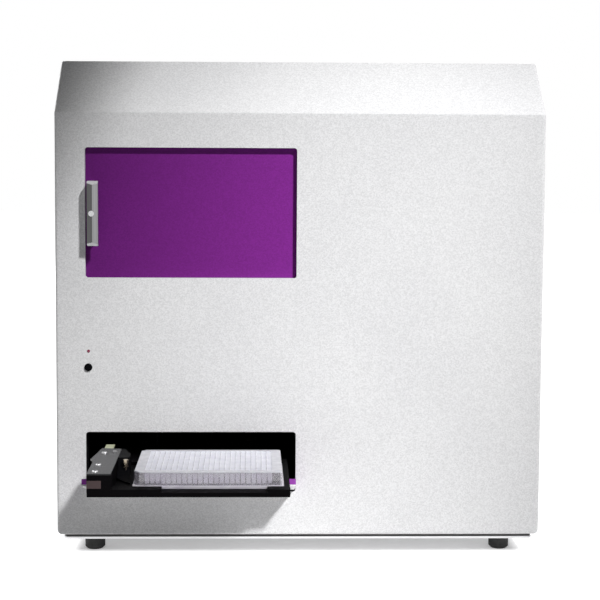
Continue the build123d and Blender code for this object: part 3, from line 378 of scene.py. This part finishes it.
def coated(name, dark, light, rough=(0.42, 0.56), specular=0.5, across=None):
    # satin powder coat; its tone drifts in clouds, or, given two places across, is painted darker at the left
    # and lighter at the right between them as painted shade
    mat, tree, shader, place = newMaterial(name)
    grain = noise(tree, place, coat["grain"], 3.0, 0.6)
    if across:
        split = tree.nodes.new("ShaderNodeSeparateXYZ")
        tree.links.new(place, split.inputs[0])
        # painted shade: the tone runs from dark at the first place to light at the second
        toneShare = between(tree, split.outputs["X"], 0.0, 1.0, across[0], across[1])
    else:
        toneShare = between(tree, noise(tree, place, texture["coatCloud"]), 0.0, 1.0, 0.35, 0.65)
    tree.links.new(speckled(tree, place, tinted(tree, toneShare, dark, light)), shader.inputs["Base Color"])
    tree.links.new(between(tree, grain, *rough), shader.inputs["Roughness"])
    shader.inputs["Specular IOR Level"].default_value = specular
    bump(tree, shader, grain, coat["strength"], coat["depth"])
    return mat


def moulded(name, dark, light, rough=(0.45, 0.6), specular=0.5, grainScale=1500.0, depth=0.04 * mm):
    mat, tree, shader, place = newMaterial(name)
    grain = noise(tree, place, grainScale, 2.0)
    toneShare = noise(tree, place, texture["mouldCloud"], 3.0)
    tree.links.new(tinted(tree, between(tree, toneShare, 0.0, 1.0), dark, light), shader.inputs["Base Color"])
    tree.links.new(between(tree, grain, *rough), shader.inputs["Roughness"])
    shader.inputs["Specular IOR Level"].default_value = specular
    bump(tree, shader, grain, texture["mouldStrength"], depth)
    return mat


def brushed(name, dark, light, along, rough=(0.26, 0.42), depth=0.03 * mm):
    # fine lines run along one axis, under a faint smudge
    mat, tree, shader, place = newMaterial(name)
    squeeze = [texture["brushCross"]] * 3
    squeeze[along] = texture["brushAlong"]
    lines = noise(tree, stretched(tree, place, squeeze), 1.0, 3.0, 0.7)
    smudge = noise(tree, place, texture["brushSmudge"])
    tree.links.new(tinted(tree, between(tree, lines, 0.0, 1.0), dark, light), shader.inputs["Base Color"])
    worn = between(tree, smudge, -0.04, 0.05)
    tree.links.new(maths(tree, "ADD", between(tree, lines, *rough), worn), shader.inputs["Roughness"])
    shader.inputs["Metallic"].default_value = 1.0
    bump(tree, shader, lines, texture["brushStrength"], depth)
    return mat


def rubbery(name):
    mat, tree, shader, place = newMaterial(name)
    dust = noise(tree, place, texture["rubberDust"], 4.0, 0.7)
    colour = tinted(tree, between(tree, dust, 0.0, 1.0), (0.006, 0.006, 0.006), (0.02, 0.02, 0.02))
    tree.links.new(colour, shader.inputs["Base Color"])
    tree.links.new(between(tree, dust, 0.62, 0.85), shader.inputs["Roughness"])
    grain = noise(tree, place, texture["rubberGrain"])
    bump(tree, shader, grain, texture["rubberStrength"], texture["rubberDepth"])
    return mat


def boardGreen(name):
    # solder mask over copper tracks
    mat, tree, shader, place = newMaterial(name)
    tracks = tree.nodes.new("ShaderNodeTexBrick")
    tracks.inputs["Scale"].default_value = texture["boardTracks"]
    tracks.inputs["Mortar Size"].default_value = texture["boardGap"]
    tracks.inputs["Color1"].default_value = (0.012, 0.11, 0.045, 1)
    tracks.inputs["Color2"].default_value = (0.010, 0.085, 0.035, 1)
    tracks.inputs["Mortar"].default_value = (0.06, 0.24, 0.08, 1)
    tree.links.new(place, tracks.inputs["Vector"])
    tree.links.new(tracks.outputs["Color"], shader.inputs["Base Color"])
    grain = noise(tree, place, texture["boardGrain"])
    tree.links.new(between(tree, grain, 0.25, 0.4), shader.inputs["Roughness"])
    return mat


def clearPlastic(name, dark, light, clear, rough=(0.08, 0.2), wave=0.08):
    # polystyrene, milky or clear as asked, with a faint violet cast
    mat, tree, shader, place = newMaterial(name)
    haze = noise(tree, place, texture["clearHaze"])
    tree.links.new(tinted(tree, between(tree, haze, 0.0, 1.0), dark, light), shader.inputs["Base Color"])
    tree.links.new(between(tree, haze, *rough), shader.inputs["Roughness"])
    shader.inputs["IOR"].default_value = texture["clearIor"]
    shader.inputs["Transmission Weight"].default_value = clear
    bump(tree, shader, haze, wave, texture["clearDepth"])
    return mat


def makeMaterials():
    doorLow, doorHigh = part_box("door_panel")
    return {
        "casing": coated("casing", (0.735, 0.735, 0.745), (0.765, 0.765, 0.772), (0.42, 0.56), 0.25),
        # the purple coat carries painted shade, darker at the door's left and lighter at its right
        "purple_coat": coated("purpleCoatPaintedShade", (0.120, 0.012, 0.150), (0.215, 0.023, 0.265), (0.40, 0.54), 0.08,
                              (doorLow.x, doorHigh.x)),
        "seal_grey": moulded("sealGrey", (0.07, 0.068, 0.066), (0.11, 0.107, 0.105), (0.3, 0.4), 0.3),
        "purple_plastic": moulded("purplePlastic", (0.26, 0.045, 0.34), (0.32, 0.06, 0.40), (0.4, 0.55), 0.2),
        "black_plastic": moulded("blackPlastic", (0.004, 0.004, 0.005), (0.008, 0.008, 0.009),
                                 (0.45, 0.6), 0.10),
        "gloss_black": moulded("glossBlack", (0.002, 0.002, 0.0025), (0.004, 0.004, 0.005),
                               (0.36, 0.46), 0.015,
                               700.0, 0.01 * mm),
        "black_anodised": moulded("blackAnodised", (0.0012, 0.0010, 0.0014), (0.0026, 0.0022, 0.0028),
                                  (0.5, 0.62), 0.03),
        "grey_anodised": moulded("greyAnodised", (0.009, 0.009, 0.011), (0.018, 0.018, 0.021),
                                 (0.2, 0.3), 0.36),
        "tab_yellow": moulded("paleYellow", (0.44, 0.46, 0.31), (0.54, 0.56, 0.40), (0.3, 0.4)),
        "strike_grey": moulded("brownGrey", (0.065, 0.043, 0.044), (0.085, 0.058, 0.060), (0.35, 0.45), 0.2),
        "lamp_red": moulded("lampRed", (0.16, 0.01, 0.04), (0.24, 0.02, 0.06), (0.08, 0.15), 0.4),
        "motor_black": moulded("motorBlack", (0.014, 0.014, 0.015), (0.028, 0.028, 0.03), (0.35, 0.5), 0.3),
        "belt": rubbery("beltRubber"),
        "rubber": rubbery("footRubber"),
        "board": boardGreen("boardGreen"),
        "clear_plate": clearPlastic("clearPlate", (0.72, 0.72, 0.78), (0.84, 0.84, 0.89), 0.25),
        "clear_skirt": clearPlastic("clearSkirt", (0.90, 0.86, 0.95), (0.97, 0.95, 1.0), 0.80,
                                    (0.01, 0.03), 0.01),
        "clear_foot": clearPlastic("clearFoot", (0.80, 0.76, 0.86), (0.93, 0.91, 0.96), 0.34,
                                   (0.03, 0.08), 0.02),
        "well_white": clearPlastic("wellWhite", (0.80, 0.80, 0.87), (0.90, 0.90, 0.95), 0.12, (0.12, 0.22)),
        "stainless": brushed("stainless", (0.50, 0.50, 0.51), (0.66, 0.66, 0.67), 0),
        "steel": brushed("steel", (0.50, 0.50, 0.51), (0.64, 0.64, 0.65), 0, (0.2, 0.32)),
        "aluminium": brushed("aluminium", (0.40, 0.40, 0.41), (0.52, 0.52, 0.53), 2, (0.24, 0.38)),
        # darker copies of the brushed aluminium for the handle's facets: painted shade, the left darker than
        # the right
        "handle_left_painted_shade": brushed("handleLeft", (0.085, 0.085, 0.085), (0.12, 0.12, 0.12), 2, (0.34, 0.46)),
        "handle_right_painted_shade": brushed("handleRightPaintedShade", (0.24, 0.24, 0.245), (0.30, 0.30, 0.305), 2, (0.3, 0.42)),
        "brass": brushed("brass", (0.50, 0.42, 0.30), (0.74, 0.64, 0.50), 2, (0.14, 0.24)),
    }


def slotOf(nodeName):
    return next(part["material_slot"] for part in frame["record"]["subparts"] if part["node"] == nodeName)


materials = makeMaterials()
for nodeName, node in nodes.items():
    finish = "seal_grey" if nodeName == "base_seal" else slotOf(nodeName)
    for spot in node.material_slots:
        spot.material = materials[finish]
print(len(materials), "materials")


# making pieces


def addPiece(name, mesh, finish, body, *replaced):
    # a finished piece: its own mesh at the origin, with its finish, on the body that carries it
    if not mesh.materials:
        mesh.materials.append(materials[finish])
    piece = bpy.data.objects.new(name, mesh)
    bpy.context.scene.collection.objects.link(piece)
    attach(piece, body)
    if replaced:
        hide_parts(*replaced)
    return piece


def bodyOf(nodeName):
    return next(name for name, empty in frame["bodies"].items() if nodes[nodeName].parent == empty)


def closeUp(form, name):
    # welds the seams, turns every face outwards and gives the mesh back
    bmesh.ops.remove_doubles(form, verts=form.verts, dist=weldWithin)
    bmesh.ops.recalc_face_normals(form, faces=form.faces)
    mesh = bpy.data.meshes.new(name)
    form.to_mesh(mesh)
    form.free()
    return mesh


def loft(form, rings, closed=False, ends=False):
    # one skin through rings that have the same number of points
    loops = [[form.verts.new(point) for point in ring] for ring in rings]
    pairs = list(zip(loops, loops[1:]))
    if closed:
        pairs.append((loops[-1], loops[0]))
    for lower, upper in pairs:
        for index in range(len(lower)):
            after = (index + 1) % len(lower)
            form.faces.new((lower[index], lower[after], upper[after], upper[index]))
    if ends:
        form.faces.new(loops[0][::-1])
        form.faces.new(loops[-1])


def roundedSquare(half, corner, height, steps=3):
    points = []
    for quarter in range(4):
        turn = quarter * math.pi / 2
        middle = Vector((half - corner, half - corner)) @ Matrix.Rotation(-turn, 2)
        for step in range(steps + 1):
            angle = turn + step / steps * math.pi / 2
            points.append((middle.x + corner * math.cos(angle), middle.y + corner * math.sin(angle), height))
    return points


def smoothed(mesh, limit=35.0):
    # smooth shading, with edges kept where faces meet at more than the limit
    for face in mesh.polygons:
        face.use_smooth = True
    form = bmesh.new()
    form.from_mesh(mesh)
    for edge in form.edges:
        if edge.calc_face_angle(math.pi) > math.radians(limit):
            edge.smooth = False
    form.to_mesh(mesh)
    form.free()
    return mesh


# repeating pieces: one part set on every point, or on every place of a grid

def repeater(name, onGrid):
    tree = bpy.data.node_groups.new(name, "GeometryNodeTree")
    face = tree.interface
    face.new_socket("Geometry", in_out="INPUT", socket_type="NodeSocketGeometry")
    face.new_socket("Part", in_out="INPUT", socket_type="NodeSocketObject")
    face.new_socket("Finish", in_out="INPUT", socket_type="NodeSocketMaterial")
    face.new_socket("Scale", in_out="INPUT", socket_type="NodeSocketFloat").default_value = 1.0
    if onGrid:
        face.new_socket("Columns", in_out="INPUT", socket_type="NodeSocketInt")
        face.new_socket("Rows", in_out="INPUT", socket_type="NodeSocketInt")
        face.new_socket("Length", in_out="INPUT", socket_type="NodeSocketFloat")
        face.new_socket("Width", in_out="INPUT", socket_type="NodeSocketFloat")
        face.new_socket("Place", in_out="INPUT", socket_type="NodeSocketVector")
    face.new_socket("Geometry", in_out="OUTPUT", socket_type="NodeSocketGeometry")
    given = tree.nodes.new("NodeGroupInput")
    part = tree.nodes.new("GeometryNodeObjectInfo")
    tree.links.new(given.outputs["Part"], part.inputs["Object"])
    points = given.outputs["Geometry"]
    if onGrid:
        grid = tree.nodes.new("GeometryNodeMeshGrid")
        asked = {"Size X": "Length", "Size Y": "Width", "Vertices X": "Columns", "Vertices Y": "Rows"}
        for size, value in asked.items():
            tree.links.new(given.outputs[value], grid.inputs[size])
        place = tree.nodes.new("GeometryNodeTransform")
        tree.links.new(grid.outputs["Mesh"], place.inputs["Geometry"])
        tree.links.new(given.outputs["Place"], place.inputs["Translation"])
        points = place.outputs["Geometry"]
    spread = tree.nodes.new("GeometryNodeInstanceOnPoints")
    tree.links.new(points, spread.inputs["Points"])
    tree.links.new(part.outputs["Geometry"], spread.inputs["Instance"])
    tree.links.new(given.outputs["Scale"], spread.inputs["Scale"])
    real = tree.nodes.new("GeometryNodeRealizeInstances")
    tree.links.new(spread.outputs["Instances"], real.inputs["Geometry"])
    finish = tree.nodes.new("GeometryNodeSetMaterial")
    tree.links.new(real.outputs["Geometry"], finish.inputs["Geometry"])
    tree.links.new(given.outputs["Finish"], finish.inputs["Material"])
    out = tree.nodes.new("NodeGroupOutput")
    tree.links.new(finish.outputs["Geometry"], out.inputs["Geometry"])
    return tree


def repeated(name, partMesh, hostMesh, tree, finish, **sizes):
    # runs the tree on a host mesh and returns the result as one plain mesh
    part = bpy.data.objects.new(name + "Part", partMesh)
    host = bpy.data.objects.new(name + "Host", hostMesh)
    bpy.context.scene.collection.objects.link(part)
    bpy.context.scene.collection.objects.link(host)
    modifier = host.modifiers.new("repeat", "NODES")
    modifier.node_group = tree
    values = {"Part": part, "Finish": materials[finish], "Scale": 1.0, **sizes}
    for socket in tree.interface.items_tree:
        if socket.in_out == "INPUT" and socket.name in values:
            modifier[socket.identifier] = values[socket.name]
    host.update_tag()
    bpy.context.view_layer.update()
    graph = bpy.context.evaluated_depsgraph_get()
    mesh = bpy.data.meshes.new_from_object(host.evaluated_get(graph))
    mesh.name = name
    host.modifiers.remove(modifier)
    bpy.data.objects.remove(host)
    bpy.data.objects.remove(part)
    return mesh


def islands(nodeName):
    # the lowest and highest corners of each separate solid of a CAD node
    form = bmesh.new()
    form.from_mesh(nodes[nodeName].data)
    bmesh.ops.remove_doubles(form, verts=form.verts, dist=weldWithin)
    left, found = set(form.verts), []
    while left:
        stack = [left.pop()]
        group = []
        while stack:
            vertex = stack.pop()
            group.append(vertex.co.copy())
            for edge in vertex.link_edges:
                other = edge.other_vert(vertex)
                if other in left:
                    left.remove(other)
                    stack.append(other)
        low = Vector([min(point[axis] for point in group) for axis in range(3)])
        high = Vector([max(point[axis] for point in group) for axis in range(3)])
        found.append((low, high))
    form.free()
    return found


def pointMesh(name, points):
    mesh = bpy.data.meshes.new(name)
    mesh.from_pydata([tuple(point) for point in points], [], [])
    return mesh


gridTree = repeater("gridOfParts", True)
pointTree = repeater("partsOnPoints", False)
print("tools for repeating pieces")


# the microplate: a clear skirt on a milky foot, a frosted deck and 384 separate wells

plate = {
    "columns": 24,
    "rows": 16,
    "pitch": 4.5 * mm,
    "mouth": 3.7 * mm,
    "mouthCorner": 0.35 * mm,
    "wellFloor": 2.9 * mm,
    "wellDepth": 11.0 * mm,
    "wellWall": 0.28 * mm,
    "lip": 0.14 * mm,
    "deck": 1.1 * mm,
    "footHeight": 2.5 * mm,
    "footStep": 1.6 * mm,
    "footCorner": 3.2 * mm,
    "corner": 2.2 * mm,
    "notch": 4.24 * mm,
    "notchShrink": 0.59,
    "wall": 1.1 * mm,
    "bevel": 0.25 * mm,
    "gap": 0.02 * mm,
}


def plateOutline(inset, height, foot=False, steps=5):
    # seen from above: round corners at the right, and at the left cut straight across above the foot
    low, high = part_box("microplate")
    middle = (low + high) / 2
    step = 0 if foot else plate["footStep"]
    halfX = (high.x - low.x) / 2 - step - inset
    halfY = (high.y - low.y) / 2 - step - inset
    points = []
    for sideX, sideY, start in ((1, -1, -90), (1, 1, 0), (-1, 1, 90), (-1, -1, 180)):
        straight = sideX < 0 and not foot
        radius = plate["notch"] if straight else (plate["footCorner"] if foot else plate["corner"])
        radius -= inset * (plate["notchShrink"] if straight else 1.0)
        centreX = middle.x + sideX * (halfX - radius)
        centreY = middle.y + sideY * (halfY - radius)
        for index in range(steps + 1):
            share = index / steps
            angle = math.radians(start + 90 * share)
            x, y = math.cos(angle), math.sin(angle)
            if straight:
                first = math.radians(start)
                x = (1 - share) * math.cos(first) - share * math.sin(first)
                y = (1 - share) * math.sin(first) + share * math.cos(first)
            points.append((centreX + radius * x, centreY + radius * y, height))
    return points


def plateGridEdge(outline, height):
    # the edge of the block of wells, point by point beside an outline
    low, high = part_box("microplate")
    middle = (low + high) / 2
    halfX = plate["columns"] * plate["pitch"] / 2 + plate["gap"]
    halfY = plate["rows"] * plate["pitch"] / 2 + plate["gap"]
    points = []
    for x, y, _ in outline:
        points.append((
            min(max(x, middle.x - halfX), middle.x + halfX),
            min(max(y, middle.y - halfY), middle.y + halfY),
            height,
        ))
    return points


def makePlateSkirt():
    low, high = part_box("microplate")
    under = high.z - plate["deck"] - plate["gap"]
    foot = low.z + plate["footHeight"] + plate["gap"]
    form = bmesh.new()
    loft(form, [
        plateOutline(0, foot),
        plateOutline(0, under),
        plateOutline(plate["wall"], under),
        plateOutline(plate["wall"], foot),
    ], closed=True)
    return smoothed(closeUp(form, "plateSkirt"))


def makePlateFoot():
    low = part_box("microplate")[0]
    top = low.z + plate["footHeight"]
    form = bmesh.new()
    loft(form, [
        plateOutline(plate["bevel"], low.z, foot=True),
        plateOutline(0, low.z + plate["bevel"], foot=True),
        plateOutline(0, top - plate["bevel"], foot=True),
        plateOutline(plate["bevel"], top, foot=True),
        plateOutline(plate["wall"], top),
        plateOutline(plate["wall"], top - plate["wall"]),
        plateOutline(plate["wall"], top - plate["wall"], foot=True),
        plateOutline(plate["wall"], low.z, foot=True),
    ], closed=True)
    return smoothed(closeUp(form, "plateFoot"))


def makePlateDeck():
    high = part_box("microplate")[1]
    under = high.z - plate["deck"]
    outer = plateOutline(0, under)
    form = bmesh.new()
    loft(form, [
        outer,
        plateOutline(0, high.z - plate["bevel"]),
        plateOutline(plate["bevel"], high.z),
        plateGridEdge(outer, high.z),
        plateGridEdge(outer, under),
    ], closed=True)
    return closeUp(form, "plateDeck")


def makeWell():
    # a tapered cup under its square of deck, with a raised lip around the mouth
    half = plate["pitch"] / 2 - plate["gap"]
    mouth = plate["mouth"] / 2
    base = plate["wellFloor"] / 2
    wall = plate["wellWall"]
    corner = plate["mouthCorner"]
    depth = plate["wellDepth"]
    form = bmesh.new()
    loft(form, [
        roundedSquare(base + wall, corner, -depth - wall),
        roundedSquare(mouth + wall, corner, -plate["deck"]),
        roundedSquare(half, plate["gap"], -plate["deck"]),
        roundedSquare(half, plate["gap"], -plate["lip"]),
        roundedSquare(mouth + wall, corner, -plate["lip"]),
        roundedSquare(mouth + wall / 2, corner, 0),
        roundedSquare(mouth, corner, -plate["lip"]),
        roundedSquare(base, corner, -depth),
    ], ends=True)
    return closeUp(form, "well")


def makePlate():
    low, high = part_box("microplate")
    middle = (low + high) / 2
    addPiece("plateSkirt", makePlateSkirt(), "clear_skirt", "plate", "microplate")
    addPiece("plateFoot", makePlateFoot(), "clear_foot", "plate")
    addPiece("plateDeck", makePlateDeck(), "clear_plate", "plate")
    wells = repeated("plateWells", makeWell(), bpy.data.meshes.new("wellHost"), gridTree, "well_white",
                     Columns=plate["columns"], Rows=plate["rows"],
                     Length=(plate["columns"] - 1) * plate["pitch"],
                     Width=(plate["rows"] - 1) * plate["pitch"],
                     Place=(middle.x, middle.y, high.z))
    addPiece("plateWells", wells, "well_white", "plate")


makePlate()
print("microplate")


# screws: button heads with a hexagon socket on the clamp, pan heads with a cross on the rear panel

# each head's outline is a list of places: share of its radius, share of its height
screws = {
    "points": 24,
    "clampOutline": ((1, 0), (1, 0.35), (0.93, 0.72), (0.78, 0.95), (0.68, 1)),
    "clampSocket": 0.5,
    "clampRim": 1.08,
    "clampChamfer": 0.93,
    "clampFloor": 0.3,
    "panelOutline": ((1, 0), (1, 0.25), (0.94, 0.6), (0.82, 0.86), (0.7, 1)),
    "panelReach": 0.62,
    "panelTaper": 0.8,
    "panelFloor": 0.45,
    "panelArm": 0.30,
    "panelWaist": 0.42,
    "smoothWithin": 50.0,
}


def around():
    # the angles of a ring's points
    return [2 * math.pi * index / screws["points"] for index in range(screws["points"])]


def headRing(radius, height):
    return [(radius * math.cos(angle), radius * math.sin(angle), height) for angle in around()]


def headRings(outline, radius, height):
    return [headRing(radius * across, height * up) for across, up in screws[outline]]


def hexRing(flats, height):
    # a hexagon's outline, with points enough to join a round ring
    points = []
    for angle in around():
        reach = flats / math.cos((angle + math.pi / 6) % (math.pi / 3) - math.pi / 6)
        points.append((reach * math.cos(angle), reach * math.sin(angle), height))
    return points


def crossRing(reach, height):
    # a cross-shaped recess, with points enough to join a round ring
    points = []
    for angle in around():
        turn = (angle + math.pi / 4) % (math.pi / 2) - math.pi / 4
        length = reach if abs(turn) < screws["panelArm"] else reach * screws["panelWaist"]
        points.append((length * math.cos(angle), length * math.sin(angle), height))
    return points


def makeClampScrew(radius, height):
    socket = radius * screws["clampSocket"]
    form = bmesh.new()
    loft(form, headRings("clampOutline", radius, height) + [
        hexRing(socket * screws["clampRim"], height),
        hexRing(socket, height * screws["clampChamfer"]),
        hexRing(socket, height * screws["clampFloor"]),
    ], ends=True)
    return smoothed(closeUp(form, "clampScrew"), screws["smoothWithin"])


def makePanelScrew(radius, height):
    # its axis runs out of the panel, along +Y
    reach = radius * screws["panelReach"]
    form = bmesh.new()
    loft(form, headRings("panelOutline", radius, height) + [
        crossRing(reach, height),
        crossRing(reach * screws["panelTaper"], height * screws["panelFloor"]),
    ], ends=True)
    form.transform(Matrix.Rotation(-math.pi / 2, 4, "X"))
    return smoothed(closeUp(form, "panelScrew"), screws["smoothWithin"])


def makeScrews():
    heads = islands("clamp_screws")
    low, high = heads[0]
    places = [((a.x + b.x) / 2, (a.y + b.y) / 2, a.z) for a, b in heads]
    mesh = repeated("clampScrews", makeClampScrew((high.x - low.x) / 2, high.z - low.z),
                    pointMesh("clampPlaces", places), pointTree, "steel")
    addPiece("clampScrews", mesh, "steel", bodyOf("clamp_screws"), "clamp_screws")
    heads = islands("panel_screws")
    low, high = heads[0]
    places = [((a.x + b.x) / 2, a.y, (a.z + b.z) / 2) for a, b in heads]
    mesh = repeated("panelScrews", makePanelScrew((high.x - low.x) / 2, high.y - low.y),
                    pointMesh("panelPlaces", places), pointTree, "steel")
    addPiece("panelScrews", mesh, "steel", bodyOf("panel_screws"), "panel_screws")


makeScrews()
print("screws")


# edges broken on the pieces that show them: a small bevel that catches the light

edges = {
    "door_handle": 0.45 * mm,
    "clamp_bracket": 0.2 * mm,
    "clamp_block": 0.2 * mm,
    "clamp_lever": 0.35 * mm,
    "strike_plate": 0.15 * mm,
    "carrier_tray": 0.2 * mm,
    "carrier_frame": 0.2 * mm,
    "sensor_tab": 0.15 * mm,
    "adjusting_screw": 0.15 * mm,
    "base_plate": 0.3 * mm,
}

# angles in degrees: faces closer than the first are one flat, edges sharper than the second are bevelled
bevelling = {
    "flatWithin": 1.0,
    "sharpFrom": 30.0,
    "segments": 2,
    "smoothWithin": 25.0,
}


def withBrokenEdges(nodeName, width):
    # a copy of the CAD solid with its flat faces made whole and its sharp edges bevelled
    form = bmesh.new()
    form.from_mesh(nodes[nodeName].data)
    bmesh.ops.remove_doubles(form, verts=form.verts, dist=weldWithin)
    flat = math.radians(bevelling["flatWithin"])
    bmesh.ops.dissolve_limit(form, angle_limit=flat, verts=form.verts, edges=form.edges)
    sharpAngle = math.radians(bevelling["sharpFrom"])
    sharp = [edge for edge in form.edges if edge.calc_face_angle(0) > sharpAngle]
    bmesh.ops.bevel(form, geom=sharp, offset=width, segments=bevelling["segments"], affect="EDGES",
                    clamp_overlap=True)
    mesh = bpy.data.meshes.new(nodeName + "Dressed")
    form.to_mesh(mesh)
    form.free()
    return mesh


def paintHandle(mesh):
    # the two facets of the handle's face are brushed lengthwise in darker copies of the aluminium, painted
    # shade with the left one darker; its edges keep the plain aluminium and stay bright
    for finish in ("aluminium", "handle_left_painted_shade", "handle_right_painted_shade"):
        mesh.materials.append(materials[finish])
    for face in mesh.polygons:
        if face.normal.y < -0.9 and abs(face.normal.z) < 0.1:
            face.material_index = 1 if face.normal.x < 0 else 2


def camel(nodeName):
    first, *others = nodeName.split("_")
    return first + "".join(word.capitalize() for word in others)


def breakEdges():
    for nodeName, width in edges.items():
        mesh = withBrokenEdges(nodeName, width)
        if nodeName == "door_handle":
            paintHandle(mesh)
        mesh = smoothed(mesh, bevelling["smoothWithin"])
        addPiece(camel(nodeName) + "Dressed", mesh, slotOf(nodeName), bodyOf(nodeName), nodeName)


breakEdges()
print("broken edges")
